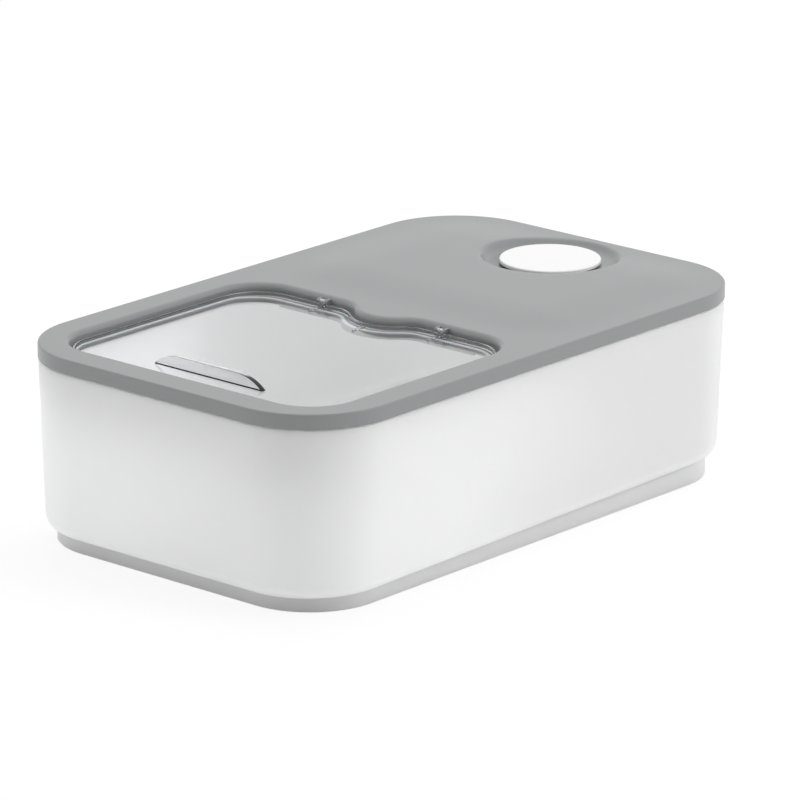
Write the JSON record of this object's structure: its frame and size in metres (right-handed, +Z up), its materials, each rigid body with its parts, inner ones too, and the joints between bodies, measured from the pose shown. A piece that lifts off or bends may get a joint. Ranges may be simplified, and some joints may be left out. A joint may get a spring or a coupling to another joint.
{
  "type": "rice storage bin",
  "caption": "Low rounded rice bin with a grey lift-off lid, a clear flip cover with a finger tab, and a capped moisture absorber in a round dish.",
  "frame": {"origin": "middle of the base, on the surface the bin stands on", "axes": "+Z up, +Y along the length from the clear cover's finger tab to the absorber cap, +X along the width"},
  "size_m": [0.248, 0.4, 0.1223],
  "materials": {
    "tub_plastic": "fine satin, opaque white",
    "lid_plastic": "fine satin, opaque grey",
    "clear_plastic": "clear, polished",
    "cap_plastic": "smooth, opaque white",
    "cup_plastic": "satin, opaque white",
    "gasket_silicone": "soft matt",
    "seal_silicone": "soft matt",
    "ring_silicone": "soft matt",
    "pad_rubber": "matt",
    "pin_steel": "drawn",
    "sachet_cloth": "non-woven"
  },
  "bodies": {
    "tub_body": {"tub": "tub_plastic", "foot_pad_front_left": "pad_rubber", "foot_pad_front_right": "pad_rubber", "foot_pad_rear_left": "pad_rubber", "foot_pad_rear_right": "pad_rubber"},
    "lid": {"lid_frame": "lid_plastic", "lid_gasket": "gasket_silicone", "cover_seal": "seal_silicone", "hinge_pin_left": "pin_steel", "hinge_pin_right": "pin_steel"},
    "cover": {"flip_cover": "clear_plastic"},
    "absorber": {"absorber_cap": "cap_plastic", "absorber_cup": "cup_plastic", "absorber_ring": "ring_silicone", "absorber_sachet": "sachet_cloth"}
  },
  "joints": [
    {"name": "lid_lift", "type": "slide", "parent": "tub_body", "child": "lid", "axis": [0, 0, 1], "range_m": [0, 0.06]},
    {"name": "cover_flip", "type": "hinge", "parent": "lid", "child": "cover", "pos_m": [0, -0.0052, 0.117], "axis": [-1, 0, 0], "range_deg": [0, 105]},
    {"name": "absorber_lift", "type": "slide", "parent": "lid", "child": "absorber", "axis": [0, 0, 1], "range_m": [0, 0.045]}
  ]
}
